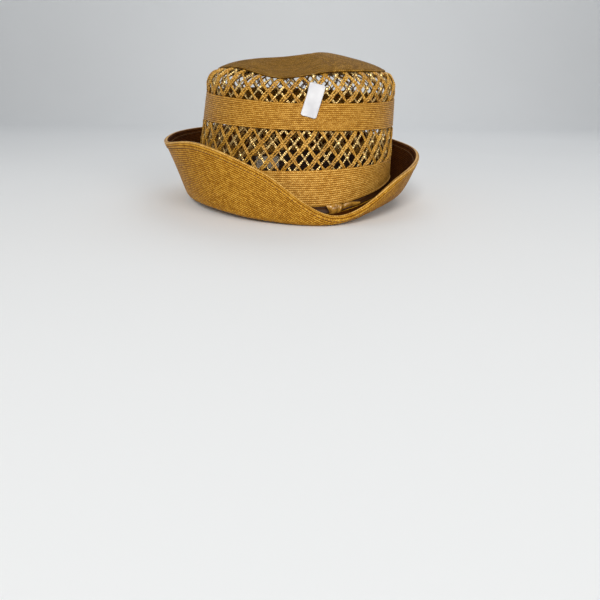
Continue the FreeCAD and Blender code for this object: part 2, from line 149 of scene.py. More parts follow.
# the CAD frame's place of the middle of the head opening
foot_low, foot_high = box_mm("headline_braid")
ORIGIN = (foot_low + foot_high) / 2.0
ORIGIN[2] = box_mm("sweatband")[1][2] - SWEATBAND_TOP


# ----------------------------------------------------------------------- crown and brim

def around(values, azimuth):
    """A smooth closed curve through values given every STEP degrees."""
    table = np.array(values)
    place = (np.asarray(azimuth, float) % 360.0) / STEP
    index = np.floor(place).astype(int)
    t = place - index
    p0, p1, p2, p3 = (table[(index + k) % len(table)] for k in (-1, 0, 1, 2))
    return 0.5 * (2 * p1 + (p2 - p0) * t + (2 * p0 - 5 * p1 + 4 * p2 - p3) * t ** 2
                  + (3 * p1 - p0 - 3 * p2 + p3) * t ** 3)


def sin_cos(azimuth):
    angle = np.radians(azimuth)
    return np.sin(angle), np.cos(angle)


def bump(distance, spread):
    return np.exp(-0.5 * (distance / spread) ** 2)


def fold_level(azimuth):
    return around(FOLD_HEIGHT, azimuth)


def lower_lattice_foot(azimuth):
    s, c = sin_cos(azimuth)
    return 33.0 + 2.4 * s + c


def lower_lattice_head(azimuth):
    s, c = sin_cos(azimuth)
    return 61.8 - 0.7 * s - 3.4 * c


def upper_lattice_foot(azimuth):
    return 81.8 - 6.8 * sin_cos(azimuth)[1]


def tip_edge(azimuth):
    return around(TIP_EDGE, azimuth)


def wall_axes(z):
    t = (z - FOOT_Z) / (SHOULDER_Z - FOOT_Z)
    over = np.maximum(t - TAPER_END, 0.0)
    t = np.minimum(t, TAPER_END) + TAPER_SOFT * (1.0 - np.exp(-over / TAPER_SOFT))
    half_width = FOOT_HALF_WIDTH + t * (SHOULDER_HALF_WIDTH - FOOT_HALF_WIDTH)
    half_length = FOOT_HALF_LENGTH + t * (SHOULDER_HALF_LENGTH - FOOT_HALF_LENGTH)
    return half_width, half_length, LEAN_X * t, LEAN_Y * t


def soften(x, y, z):
    """The summit, the lengthwise crease and the pinch that fingers leave in the tip."""
    sx, sy, rise, spread = SUMMIT
    high = np.clip((z - SOFT_FROM) / SOFT_OVER, 0.0, 1.0)
    dz = high * rise * bump(np.hypot(x - sx, y - sy), spread)
    cx, cy, depth, across, along = CREASE
    dz = dz - high * depth * bump(x - cx, across) * np.exp(-((y - cy) / along) ** 4)
    px, py, pz, pinch_spread = PINCH
    near = bump(np.sqrt((x - px) ** 2 + (y - py) ** 2 + (z - pz) ** 2), pinch_spread)
    inward = np.maximum(np.hypot(x, y), 1.0)
    return (x - PINCH_IN * near * x / inward, y - PINCH_IN * near * y / inward,
            z + dz - PINCH_DOWN * near)


def oval_point(azimuth, base, ring, h, depth):
    """A point on the crown: ring is its share of the wall's oval at base, h of the dome."""
    half_width, half_length, cx, cy = wall_axes(base)
    s, c = sin_cos(azimuth)
    height = TIP_TOP_Z - base
    outer = np.stack(np.broadcast_arrays(cx + half_width * ring * s,
                                         cy - half_length * ring * c, base + height * h))
    moved = np.stack(soften(*outer))
    inner = np.stack(np.broadcast_arrays(cx + (half_width - depth) * ring * s,
                                         cy - (half_length - depth) * ring * c,
                                         base + (height - depth) * h))
    return np.moveaxis(inner + moved - outer, 0, -1)


def crown_point(azimuth, z, depth=0.0):
    """The crown's skin at height z, moved in by depth, as far as the shoulder."""
    azimuth, z, depth = np.broadcast_arrays(azimuth, z, depth)
    start = tip_edge(azimuth) - SHOULDER_DROP
    h = np.clip((z - start) / (TIP_TOP_Z - start), 0.0, 0.999)
    ring = (1.0 - h ** DOME_POWER) ** (1.0 / DOME_POWER)
    return oval_point(azimuth, np.minimum(z, start), ring, h, depth)


def dome_point(azimuth, sweep, depth=0.0):
    """A point on the tip. sweep is 0 where the dome starts, and 1 at its middle."""
    azimuth, sweep, depth = np.broadcast_arrays(azimuth, sweep, depth)
    angle = sweep * math.pi / 2.0
    ring = np.maximum(np.cos(angle), 1e-6) ** (2.0 / DOME_POWER)
    h = np.sin(angle) ** (2.0 / DOME_POWER)
    return oval_point(azimuth, tip_edge(azimuth) - SHOULDER_DROP, ring, h, depth)


def shoulder_reach(azimuth):
    """How far the shoulder's oval is from its middle."""
    s, c = sin_cos(azimuth)
    return np.hypot(SHOULDER_HALF_WIDTH * s, SHOULDER_HALF_LENGTH * c)


def dome_sweep(ring):
    """The sweep at which the dome has drawn in to this share of the shoulder's oval."""
    return np.arccos(ring ** (DOME_POWER / 2.0)) * 2.0 / math.pi


def foot_point(azimuth, outward, z):
    """A point at height z, outward from the oval of the crown's foot."""
    s, c = sin_cos(azimuth)
    return np.stack(np.broadcast_arrays((FOOT_HALF_WIDTH + outward) * s,
                                        -(FOOT_HALF_LENGTH + outward) * c, z), -1)


class Brim:
    """The brim's outer skin at many azimuths, by distance along it from the rim."""

    def __init__(self, azimuths, samples=64):
        self.azimuths = np.asarray(azimuths, float)
        turn, lift, belly, belly_z, rim, rim_z = (
            around(table, self.azimuths)[:, None] for table in
            (TURN_OUT, TURN_LIFT, BELLY_OUT, BELLY_HEIGHT, RIM_OUT, RIM_HEIGHT))
        t = np.linspace(0.0, 1.0, samples // 4, endpoint=False)
        u_turn, z_turn = t * t * turn, (1.0 - t) ** 2 * TURN_START + lift
        t = np.linspace(0.0, 1.0, samples - samples // 4)
        b0, b1, b2, b3 = (1 - t) ** 3, 3 * t * (1 - t) ** 2, 3 * t * t * (1 - t), t ** 3
        u_rise = b0 * turn + b1 * (turn + 0.35 * (belly - turn) + 2.0) + b2 * belly + b3 * rim
        z_rise = (b0 + b1) * lift + b2 * belly_z + b3 * rim_z
        self.u = np.concatenate([u_turn, u_rise], 1)
        self.z = np.concatenate([z_turn, z_rise], 1)
        steps = np.hypot(np.diff(self.u, axis=1), np.diff(self.z, axis=1))
        self.run = running(steps, 1)
        self.length = self.run[:, -1]
        self.du = np.gradient(self.u, axis=1)
        self.dz = np.gradient(self.z, axis=1)

    def place(self, from_rim, depth):
        """Rows of points from_rim below the rim and depth inward from the skin.

        Both are rows of one value, or of one value for each azimuth."""
        from_rim = np.broadcast_to(from_rim, (len(from_rim), len(self.azimuths)))
        depth = np.broadcast_to(depth, from_rim.shape)
        out = np.empty(from_rim.shape + (3,))
        for k, azimuth in enumerate(self.azimuths):
            run = np.clip(self.length[k] - from_rim[:, k], 0.0, self.length[k])
            u, z, du, dz = (np.interp(run, self.run[k], a[k])
                            for a in (self.u, self.z, self.du, self.dz))
            size = np.hypot(du, dz)
            du, dz = du / size, dz / size
            out[:, k] = foot_point(azimuth, u - dz * depth[:, k], z + du * depth[:, k])
        return out

    def rows(self, points_a_row):
        """Row numbers from the binding to the foot, and how far below the rim they are."""
        top = BINDING_DEPTH - 0.4
        count = int(math.ceil((self.length.max() - top) / ROW))
        v = np.arange(count * points_a_row + 1) / points_a_row
        return v, np.minimum(top + v[:, None] * ROW, self.length - FOOT_GAP)

    def foot(self, first, last):
        """The foot's edge, from one depth to another."""
        return self.place(np.stack([self.length - FOOT_GAP] * 2), np.array([[first], [last]]))


# ------------------------------------------------------------------------ mesh building

class Piece:
    """Collects grids and tubes in millimetres and turns them into one object."""

    def __init__(self):
        self.points, self.faces, self.uvs, self.count = [], [], [], 0

    def grid(self, points, u, v, wrap=True, flip=False):
        """points is rows by columns by 3; wrap closes each row into a ring. u is one value a
        column and one more, v one a row, or each of them one for every corner."""
        rows, cols = points.shape[:2]
        u, v = np.asarray(u, float), np.asarray(v, float)
        a, b = np.meshgrid(np.arange(rows - 1), np.arange(cols if wrap else cols - 1),
                           indexing="ij")
        a, b = a.ravel(), b.ravel()
        corners = ((a, b), (a, b + 1), (a + 1, b + 1), (a + 1, b))
        quads = np.stack([i * cols + j % cols for i, j in corners], 1) + self.count
        rise = v if v.ndim == 2 else np.repeat(v[:, None], cols + 1, 1)
        run = u if u.ndim == 2 else np.repeat(u[None, :], rows, 0)
        uv = np.stack([np.stack([run[i, j], rise[i, j]], 1) for i, j in corners], 1)
        if flip:
            quads, uv = quads[:, ::-1], uv[:, ::-1]
        self.points.append(points.reshape(-1, 3))
        self.faces.append(quads)
        self.uvs.append(uv.reshape(-1, 2))
        self.count += rows * cols

    def tube(self, path, radius, sides, normal=(0.0, 0.0, 1.0), flat=1.0, cap=True):
        """A round cord along path. flat squeezes it along the normal, or normals."""
        along = unit(np.gradient(path, axis=0))
        side = unit(np.cross(along, normal))
        up = np.cross(side, along)
        size = np.broadcast_to(radius, (len(path),))
        if cap:
            path = np.concatenate([path[:1], path, path[-1:]])
            side = np.concatenate([side[:1], side, side[-1:]])
            up = np.concatenate([up[:1], up, up[-1:]])
            size = np.concatenate([[0.02 * size[0]], size, [0.02 * size[-1]]])
        angle = np.arange(sides) * math.tau / sides
        ring = (side[:, None] * np.cos(angle)[:, None]
                + up[:, None] * np.sin(angle)[:, None] * flat)
        points = path[:, None] + ring * size[:, None, None]
        run = running(np.linalg.norm(np.diff(path, axis=0), axis=1))
        self.grid(points, u=np.linspace(0.0, 1.0, sides + 1), v=run)

    def finish(self, name, material, replaces=()):
        vertices = (np.concatenate(self.points) + ORIGIN) * MM
        faces = np.concatenate(self.faces)
        mesh = bpy.data.meshes.new(name)
        mesh.vertices.add(len(vertices))
        mesh.vertices.foreach_set("co", vertices.ravel())
        mesh.loops.add(faces.size)
        mesh.loops.foreach_set("vertex_index", faces.ravel().astype(np.int32))
        mesh.polygons.add(len(faces))
        mesh.polygons.foreach_set("loop_start", np.arange(len(faces), dtype=np.int32) * 4)
        mesh.polygons.foreach_set("loop_total", np.full(len(faces), 4, dtype=np.int32))
        mesh.update(calc_edges=True)
        mesh.validate()
        layer = mesh.uv_layers.new(name="rows")
        layer.data.foreach_set("uv", np.concatenate(self.uvs).astype(np.float32).ravel())
        mesh.polygons.foreach_set("use_smooth", np.ones(len(faces), bool))
        mesh.materials.append(material)
        piece = add(name, mesh)
        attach(piece, "root")
        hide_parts(*replaces)
        return piece


def thicken(piece, thickness):
    """Gives a drawn surface its thickness, on its inner side."""
    piece.modifiers.new("thickness", "SOLIDIFY").thickness = thickness * MM


def ridge(v):
    """How far a row of braid stands up at row coordinate v."""
    share = v % 1.0
    return RIDGE * (np.sin(math.pi * share) ** 0.7 - 0.35 + 0.25 * (0.5 - share))


def wobble(azimuth, seed, size):
    """A slow hand-made unevenness around the hat."""
    local = np.random.default_rng(seed)
    out = 0.0
    for waves in (2, 3, 5, 8, 13):
        height = local.normal() / math.sqrt(waves)
        out = out + height * np.sin(np.radians(azimuth) * waves + local.uniform(0.0, math.tau))
    return out * size


def azimuths(count):
    return np.arange(count) * 360.0 / count


def girth(points):
    """Distance round a closed ring of points, with the full turn as the last value."""
    return running(np.linalg.norm(np.roll(points, -1, 0) - points, axis=1))


# ---------------------------------------------------------------------------- materials

class Nodes:
    """Short names for building a material's node tree."""

    def __init__(self, name):
        self.material = bpy.data.materials.new(name)
        self.material.use_nodes = True
        self.tree = self.material.node_tree
        self.shader = self.tree.nodes["Principled BSDF"]

    def new(self, kind, **settings):
        node = self.tree.nodes.new(kind)
        for key, value in settings.items():
            setattr(node, key, value)
        return node

    def put(self, socket, value):
        if isinstance(value, bpy.types.NodeSocket):
            self.tree.links.new(value, socket)
        else:
            socket.default_value = value

    def math(self, operation, a, b=0.0, c=0.0):
        node = self.new("ShaderNodeMath", operation=operation)
        for socket, value in zip(node.inputs, (a, b, c)):
            self.put(socket, value)
        return node.outputs[0]

    def mix(self, factor, a, b):
        node = self.new("ShaderNodeMix", data_type="RGBA")
        self.put(node.inputs["Factor"], factor)
        for socket, colour in ((node.inputs[6], a), (node.inputs[7], b)):
            self.put(socket, (*colour, 1.0) if isinstance(colour, tuple) else colour)
        return node.outputs[2]

    def times(self, a, b, plus=0.0):
        return self.math("MULTIPLY_ADD", a, b, plus)

    def plus(self, a, b):
        return self.math("ADD", a, b)

    def wave(self, value):
        """A sine wave from 0 to 1."""
        return self.times(self.math("SINE", value), 0.5, 0.5)

    def about(self, value, size):
        """value, from 0 to 1, brought to a range of this size about 0."""
        return self.times(value, size, -0.5 * size)

    def range(self, value, low, high, to_low=0.0, to_high=1.0):
        node = self.new("ShaderNodeMapRange")
        for socket, item in zip(node.inputs, (value, low, high, to_low, to_high)):
            self.put(socket, item)
        return node.outputs[0]

    def noise(self, vector, scale, detail=3.0, roughness=0.55):
        node = self.new("ShaderNodeTexNoise")
        self.put(node.inputs["Vector"], vector)
        node.inputs["Scale"].default_value = scale
        node.inputs["Detail"].default_value = detail
        node.inputs["Roughness"].default_value = roughness
        return node.outputs["Fac"]

    def vector(self, x, y, z=0.0):
        node = self.new("ShaderNodeCombineXYZ")
        for socket, value in zip(node.inputs, (x, y, z)):
            self.put(socket, value)
        return node.outputs[0]

    def rows(self):
        """The piece's own coordinates: millimetres along, rows across."""
        node = self.new("ShaderNodeUVMap", uv_map="rows")
        split = self.new("ShaderNodeSeparateXYZ")
        self.put(split.inputs[0], node.outputs[0])
        return split.outputs[0], split.outputs[1]

    def place(self):
        return self.new("ShaderNodeTexCoord").outputs["Object"]

    def relief(self, height, strength, distance):
        node = self.new("ShaderNodeBump")
        node.inputs["Strength"].default_value = strength
        node.inputs["Distance"].default_value = distance
        self.put(node.inputs["Height"], height)
        self.put(self.shader.inputs["Normal"], node.outputs[0])

    def set(self, colour, **values):
        """Sets the shader's sockets and gives the finished material."""
        self.put(self.shader.inputs["Base Color"], colour)
        for key, value in values.items():
            name = "Specular IOR Level" if key == "specular" else key.capitalize()
            self.put(self.shader.inputs[name], value)
        return self.material


def braid_material(name, shade_colour, body, highlight_colour, roughness, gloss, contrast=1.0, stitch=STITCH):
    """Plaited straw: rows parted by dark lines of painted shade, a bead for each stitch of the
    plait.
    """
    n = Nodes(name)
    along, across = n.rows()
    place = n.place()
    row = n.math("FLOOR", across)
    share = n.math("FRACT", across)
    side = n.times(n.math("FRACT", n.times(row, 0.5)), 4.0, -1.0)
    slant = n.times(n.math("SUBTRACT", share, 0.5), 1.1)
    phase = n.times(slant, side, n.math("DIVIDE", along, stitch))
    phase = n.times(n.noise(place, 120.0, 1.0), 1.6, phase)
    bead = n.math("SINE", n.times(n.math("FRACT", phase), math.pi))
    bead = n.math("POWER", bead, 0.6)
    arch = n.math("POWER", n.math("SINE", n.times(share, math.pi)), 0.75)
    chance = n.new("ShaderNodeTexWhiteNoise", noise_dimensions="2D")
    n.put(chance.inputs["Vector"], n.vector(n.math("FLOOR", phase), row))
    fibre = n.noise(n.vector(n.times(along, 1.3), n.times(across, 8.0)), 1.0, 2.0)
    tone = n.times(chance.outputs["Value"], 0.36 * contrast, -0.12 * contrast)
    for source, size in ((n.noise(place, 45.0, 2.0), 0.10), (n.noise(place, 13.0, 2.0), 0.14),
                         (fibre, 0.3)):
        tone = n.plus(tone, n.about(source, size))
    # The colour runs from the shade colour in the gaps to the highlight colour on the bead tops:
    # painted shade and painted highlight, varied by each stitch's own random tone.
    level = n.plus(n.times(arch, n.times(bead, 0.75, 0.25)), tone)
    colour = n.mix(n.range(level, 0.05, 0.62), shade_colour, body)
    colour = n.mix(n.range(level, 0.62, 1.15), colour, highlight_colour)
    height = n.times(arch, n.times(bead, 0.45, 0.55))
    n.relief(n.plus(height, n.times(fibre, 0.25)), 0.5 * contrast, 0.0004)
    rough = n.range(fibre, 0.3, 0.7, roughness - 0.08, roughness + 0.12)
    return n.set(colour, roughness=rough, specular=gloss)


def cord_material(shade_colour, body, highlight_colour):
    """Twisted straw cord: slanting strands with painted shade in the lines between them and
    painted highlights on their tops.
    """
    n = Nodes("straw_cord")
    across, along = n.rows()
    wave = n.wave(n.times(n.times(along, 0.55, n.times(across, 2.0)), math.tau))
    fibre = n.noise(n.place(), 900.0, 3.0)
    cloud = n.noise(n.place(), 70.0, 2.0)
    level = n.plus(n.times(wave, 0.45, n.times(cloud, 0.6)), n.about(fibre, 0.8))
    colour = n.mix(n.range(level, 0.1, 0.6), shade_colour, body)
    colour = n.mix(n.range(level, 0.6, 1.0), colour, highlight_colour)
    n.relief(n.plus(wave, n.times(fibre, 0.4)), 0.35, 0.0003)
    return n.set(colour, roughness=0.4, specular=0.5)


def gold_material():
    """Flat metallic thread wound round a core, with paler and darker stretches."""
    n = Nodes("gold_thread")
    across, along = n.rows()
    wave = n.wave(n.times(along, 4.2, n.times(across, math.tau)))
    cloud = n.noise(n.place(), 260.0, 2.0)
    level = n.times(wave, 0.45, n.times(cloud, 0.75))
    colour = n.mix(n.range(level, 0.25, 0.85), (0.34, 0.15, 0.02), (1.0, 0.76, 0.32))
    n.relief(wave, 0.5, 0.0002)
    return n.set(colour, metallic=0.65, roughness=0.22)


def satin_material(name, shade_colour, highlight_colour, roughness, gloss):
    """Fine threads along the ribbon, and slow patches of painted sheen and painted shade in place
    of the light on its creases.
    """
    n = Nodes(name)
    along, across = n.rows()
    thread = n.noise(n.vector(n.times(along, 0.12), n.times(across, 5.0)), 3.0, 2.0)
    cloud = n.noise(n.place(), 240.0, 2.0)
    level = n.times(thread, 0.5, n.times(cloud, 0.5))
    colour = n.mix(n.range(level, 0.3, 0.7), shade_colour, highlight_colour)
    n.relief(thread, 0.15, 0.0001)
    return n.set(colour, roughness=roughness, specular=gloss, anisotropic=0.6)


def grosgrain_material():
    """Ribbon with fine ribs across it."""
    n = Nodes("grosgrain")
    along, across = n.rows()
    rib = n.wave(n.times(along, math.tau / 0.9))
    thread = n.noise(n.vector(n.times(along, 0.4), n.times(across, 8.0)), 3.0, 2.0)
    level = n.times(rib, 0.7, n.times(thread, 0.5))
    colour = n.mix(n.range(level, 0.2, 1.0), (0.020, 0.009, 0.005), (0.085, 0.04, 0.02))
    n.relief(rib, 0.5, 0.0004)
    return n.set(colour, roughness=0.6, specular=0.3)


def paper_material():
    n = Nodes("tag_paper")
    fleck = n.noise(n.place(), 1500.0, 3.0)
    cloud = n.noise(n.place(), 120.0, 2.0)
    colour = n.mix(n.range(cloud, 0.35, 0.7), (0.72, 0.72, 0.74), (0.60, 0.60, 0.63))
    n.relief(fleck, 0.08, 0.0001)
    return n.set(colour, roughness=0.65, specular=0.3)


def tape_material():
    """Plain woven tape."""
    n = Nodes("woven_tape")
    along, across = n.rows()
    weave = n.times(n.math("SINE", n.times(along, 16.0)), n.math("SINE", n.times(across, 16.0)))
    level = n.plus(n.times(weave, 0.25, 0.5), n.about(n.noise(n.place(), 90.0), 0.6))
    colour = n.mix(level, (0.52, 0.46, 0.36), (0.74, 0.68, 0.56))
    n.relief(weave, 0.3, 0.0002)
    return n.set(colour, roughness=0.7, specular=0.25)


def thread_material():
    n = Nodes("thread")
    fibre = n.noise(n.place(), 1800.0, 2.0)
    colour = n.mix(fibre, (0.16, 0.07, 0.02), (0.36, 0.19, 0.07))
    n.relief(fibre, 0.3, 0.0001)
    return n.set(colour, roughness=0.6, specular=0.3)


def steel_material():
    n = Nodes("steel_wire")
    brush = n.noise(n.place(), 700.0, 2.0)
    colour = n.mix(brush, (0.42, 0.42, 0.43), (0.62, 0.62, 0.62))
    return n.set(colour, metallic=1.0, roughness=n.range(brush, 0.3, 0.7, 0.25, 0.45))


# Each straw: shade colour painted in the gaps, body colour, highlight colour painted on the beads,
# roughness, gloss.
STRAW = braid_material("straw_braid", (0.110, 0.034, 0.001), (0.410, 0.172, 0.010),
                       (0.760, 0.440, 0.095), 0.42, 0.14)
# The brim's straw is the crown's straw painted darker: painted shade, against the light the pale
# floor throws up onto it.
SHADED_BRIM_STRAW = braid_material("brim_straw", (0.060, 0.016, 0.001), (0.370, 0.145, 0.004),
                            (0.720, 0.410, 0.060), 0.45, 0.07)
# The base wall's straw is the crown's straw painted lighter: painted light, where the front light
# falls on it.
LIT_WALL_STRAW = braid_material("wall_straw_painted_light", (0.120, 0.038, 0.002), (0.490, 0.210, 0.015),
                            (0.880, 0.540, 0.140), 0.42, 0.14)
TIP_STRAW = braid_material("tip_braid", (0.030, 0.010, 0.001), (0.195, 0.088, 0.005),
                           (0.500, 0.280, 0.055), 0.52, 0.05, contrast=1.2)
FACING = braid_material("brown_braid", (0.010, 0.002, 0.0005), (0.058, 0.014, 0.001),
                        (0.125, 0.042, 0.006), 0.80, 0.03)
EDGE = braid_material("edge_braid", (0.150, 0.055, 0.004), (0.520, 0.250, 0.030),
                      (0.820, 0.520, 0.150), 0.42, 0.2, stitch=1.3)
CORD = cord_material((0.130, 0.045, 0.001), (0.560, 0.270, 0.022), (0.950, 0.620, 0.140))
GOLD = gold_material()
# The hatband's ribbon is the knot's satin painted near black: painted shade for the dark recess it
# lies in.
SHADED_SATIN = satin_material("satin", (0.022, 0.006, 0.001), (0.075, 0.027, 0.004), 0.42, 0.25)
KNOT_SATIN = satin_material("knot_satin", (0.130, 0.042, 0.002), (0.760, 0.400, 0.060), 0.25,
                            0.6)
GROSGRAIN = grosgrain_material()
PAPER = paper_material()
TAPE = tape_material()
THREAD = thread_material()
STEEL = steel_material()


# ------------------------------------------------------------------------- braid pieces

def braid_band(name, node, low, high, rows, material, seed):
    """A ring of rows of braid between two heights, with its inside and its two edges."""
    az = azimuths(ROUND)
    count = rows * ROW_POINTS
    v = np.arange(count + 1) / ROW_POINTS
    share = v[:, None] / rows
    foot, head = low(az), high(az)
    heights = foot + (head - foot) * share
    swell = wobble(az, seed, 0.18)
    drift = wobble(az, seed + 1, 0.06)
    outer = crown_point(az, heights, -(ridge(v[:, None] + drift) + swell))
    inner = crown_point(az, heights, BAND + 0.5 * ridge(v[:, None]) - swell)
    run = girth(outer[count // 2])
    piece = Piece()
    piece.grid(outer, u=run, v=v)
    coarse = slice(None, None, 2)       # the inside is seen less
    piece.grid(inner[coarse, coarse], u=girth(inner[count // 2][coarse]), v=v[coarse], flip=True)
    for row, flip in ((0, True), (-1, False)):
        edge = np.stack([outer[row], inner[row]])
        piece.grid(edge, u=run, v=[v[row], v[row] + 0.6], flip=flip)
    piece.finish(name, material, [node])


def tip():
    """The domed tip: a spiral of braid from its edge to the button in the middle."""
    az = azimuths(ROUND_TIP)
    edge_h = SHOULDER_DROP / (TIP_TOP_Z - (tip_edge(az) - SHOULDER_DROP))
    first = np.arcsin(edge_h ** (DOME_POWER / 2.0)) * 2.0 / math.pi
    last = dome_sweep(TIP_HOLE / shoulder_reach(az))
    fine = np.linspace(0.0, 1.0, 121)[:, None]
    sweeps = first + (last - first) * fine
    path = dome_point(az, sweeps)
    run = running(np.linalg.norm(np.diff(path, axis=0), axis=2))
    rows = int(round(run[-1].mean() / ROW))
    spiral = az / 360.0
    v = np.arange(rows * ROW_POINTS_FEW + 1)[:, None] / ROW_POINTS_FEW
    share = np.clip((v - spiral * np.minimum(1.0, v)) / rows, 0.0, 1.0)
    sweep = np.empty_like(share)
    for k in range(len(az)):
        sweep[:, k] = np.interp(share[:, k] * run[-1, k], run[:, k], sweeps[:, k])
    row_at = share * rows + spiral
    lift = ridge(row_at) + wobble(az, 31, 0.12) * np.clip(1.0 - v / rows, 0, 1)
    edge_roll = 0.55 * np.clip(1.0 - v / 0.7, 0.0, 1.0) ** 2
    outer = dome_point(az, sweep, edge_roll - lift)
    inner = dome_point(az, sweep, BAND)
    rows_v = np.concatenate([row_at, row_at[:, :1] + 1.0], 1)
    circle = girth(outer[0])
    scale = np.array([girth(r)[-1] for r in outer]) / circle[-1]
    steps = np.maximum(np.round(scale * circle[-1] / STITCH), 4.0) * STITCH
    run_u = circle / circle[-1] * steps[:, None]
    piece = Piece()
    piece.grid(outer, u=run_u, v=rows_v)
    piece.grid(inner[::2, ::2], u=run_u[::2, ::2], v=rows_v[::2, ::2], flip=True)
    piece.grid(np.stack([outer[0], inner[0]]), u=circle, v=[0.0, 0.6], flip=True)
    piece.finish("tip_braid", TIP_STRAW, ["crown_tip"])


def button():
    """The coil where the braid starts: a flat spiral cord lying on the tip."""
    t = np.linspace(0.0, 1.0, 150)
    radius = BUTTON_PITCH * BUTTON_TURNS * t + 0.15
    az = 360.0 * BUTTON_TURNS * t
    sweep = dome_sweep(radius / shoulder_reach(az))
    piece = Piece()
    piece.tube(dome_point(az, sweep, -0.25), 0.78, 8, flat=0.7)
    piece.finish("button_coil", TIP_STRAW, ["tip_button"])


def brim():
    """The brim's outer straw, its rows parallel to the rim."""
    az = azimuths(ROUND_BRIM)
    shape = Brim(az)
    v, runs = shape.rows(ROW_POINTS)
    drift = wobble(az, 4, 0.08)
    outer = shape.place(runs, -(ridge(v[:, None] + drift) + wobble(az, 3, 0.14)))
    foot = shape.foot(0.0, LAYER)
    piece = Piece()
    piece.grid(outer, u=girth(outer[len(v) // 3]), v=v, flip=True)
    piece.grid(foot, u=girth(foot[0]), v=[0.0, 1.0], flip=True)
    piece.finish("brim_braid", SHADED_BRIM_STRAW, ["brim_straw"])


def brim_lining():
    """The brown braid that faces the brim's upper side."""
    az = azimuths(ROUND)
    shape = Brim(az)
    v, runs = shape.rows(ROW_POINTS_FEW)
    inner = shape.place(runs, BRIM + ridge(v[:, None]) + wobble(az, 5, 0.1))
    foot = shape.foot(LAYER, BRIM)
    piece = Piece()
    piece.grid(inner, u=girth(inner[len(v) // 3]), v=v)
    piece.grid(foot, u=girth(foot[0]), v=[0.0, 0.6], flip=True)
    piece.finish("brim_facing_braid", FACING, ["brim_facing"])


def binding():
    """The rim's edge: a flat row of braid, the paler roll on top, and a brown row inside.

    Each outline is a run of points (below the rim, inward from the skin)."""
    shape = Brim(azimuths(ROUND))
    outside = [(4.35, 0.15), (4.2, -0.22), (3.9, -0.40), (3.3, -0.46), (2.6, -0.50),
               (1.9, -0.46), (1.4, -0.38), (1.15, -0.12)]
    inside = [(0.6, 2.30), (0.9, 2.60), (1.6, 2.74), (2.4, 2.80), (3.2, 2.78), (4.0, 2.66),
              (4.35, 2.3)]
    roll = [(1.2, 0.0), (1.1, -0.28), (0.8, -0.42), (0.4, -0.36), (0.12, -0.10), (0.0, 0.45),
            (0.0, 1.15), (0.05, 1.70), (0.2, 2.15), (0.4, 2.40), (0.7, 2.45)]
    for name, material, outline in (("rim_edge_row", SHADED_BRIM_STRAW, outside),
                                    ("rim_rolled_edge", EDGE, roll),
                                    ("rim_inside_row", FACING, inside)):
        line = np.array(outline)
        points = shape.place(line[:, :1], line[:, 1:])
        length = running(np.hypot(*np.diff(line, axis=0).T))
        piece = Piece()
        piece.grid(points, u=girth(points[3]), v=length / length[-1] * 1.98, flip=True)
        piece.finish(name, material, ["rim_binding"])


def stitching():
    """Two lines of running stitches below the binding, outside and inside."""
    below = np.array([[BINDING_DEPTH + 0.55]])
    around_rim, stitch, sewn = 2 * ROUND, 6, 5
    piece = Piece()
    shape = Brim(azimuths(around_rim))
    for depth, dip in ((-0.32, 0.5), (BRIM + 0.32, -0.5)):
        line, sunk = (shape.place(below, np.array([[level]]))[0] for level in (depth, depth + dip))
        for start in range(0, around_rim, stitch):
            index = [(start + k) % around_rim for k in range(sewn)]
            path = np.concatenate([sunk[index[:1]], line[index[1:-1]], sunk[index[-1:]]])
            piece.tube(path, 0.17, 5, cap=False)
    piece.finish("rim_stitches", THREAD, ["rim_stitching"])


def piping():
    """The light folded edge along the foot of the base wall."""
    az = azimuths(ROUND_SMALL)
    angle = np.linspace(0.0, math.tau, 11)
    points = foot_point(az, -0.75 + 0.75 * np.cos(angle)[:, None],
                        fold_level(az) - 0.6 + 0.72 * np.sin(angle)[:, None])
    piece = Piece()
    piece.grid(points, u=girth(points[0]), v=angle / 3.0, flip=True)
    piece.finish("fold_edge", EDGE, ["base_wall_piping"])


def headline():
    """The row inside the foot of the crown, seen from below and in the recess."""
    az = azimuths(ROUND_SMALL)
    lift, fold = around(TURN_LIFT, az), fold_level(az)
    outline = [(-0.05, lift + 2.8), (-0.3, lift + 4.8), (-2.0, fold - 0.6), (-2.0, fold + 8.0),
               (-3.2, fold + 8.0), (-3.2, fold - 0.6), (-1.5, lift + 4.8), (-1.25, lift + 2.8),
               (-0.05, lift + 2.8)]
    corners = np.array([np.broadcast_arrays(u, z) for u, z in outline])
    at = np.linspace(0.0, len(outline) - 1.0, 81)
    corner = np.minimum(at.astype(int), len(outline) - 2)
    part = (at - corner)[:, None, None]
    skin = corners[corner] * (1.0 - part) + corners[corner + 1] * part
    u, z = skin[:, 0], skin[:, 1]
    v = running(np.hypot(np.diff(u[:, 0]), np.diff(z[:, 0]))) / ROW
    points = foot_point(az, u, z)
    piece = Piece()
    piece.grid(points, u=girth(points[0]), v=v)
    piece.finish("headline_row", STRAW, ["headline_braid"])


# ----------------------------------------------------------------------------- lattices

